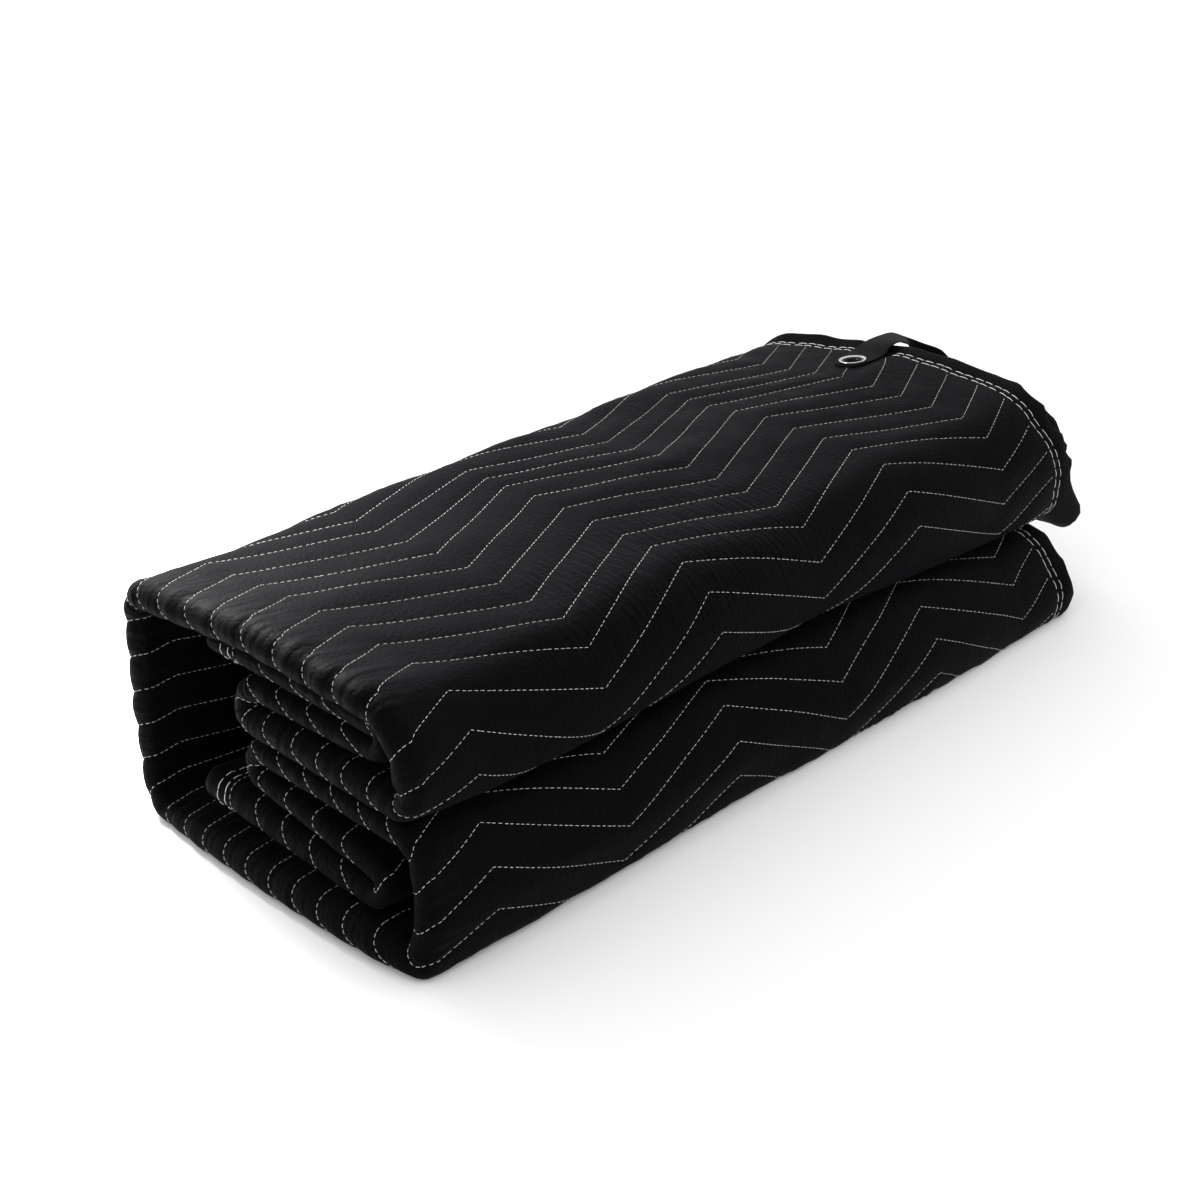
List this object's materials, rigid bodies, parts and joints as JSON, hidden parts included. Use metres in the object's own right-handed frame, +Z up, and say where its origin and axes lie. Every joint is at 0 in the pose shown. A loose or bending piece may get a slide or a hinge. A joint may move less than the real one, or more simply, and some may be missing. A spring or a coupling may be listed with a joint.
{
  "type": "folded sound dampening blanket with a webbing loop and an eyelet",
  "caption": "Quilted sound dampening blanket folded into a flat bundle: doubled over, both sides rolled in and closed like a book, with a webbing loop and a metal eyelet at its hem.",
  "frame": {"origin": "middle of the bundle's bounding box, on the surface it rests on", "axes": "+X along the bundle from its folded end to its hemmed end, +Y towards the spine that joins the two rolls, +Z up"},
  "size_m": [1.0464, 0.4626, 0.2609],
  "materials": {
    "quilted_fabric": "black non-woven cloth quilted in off-white zigzag stitching",
    "webbing": "black woven webbing",
    "nickel": "bright nickel plate"
  },
  "bodies": {
    "root": {"blanket": "quilted_fabric", "loop_strap": "webbing", "eyelet": "nickel"}
  },
  "joints": []
}
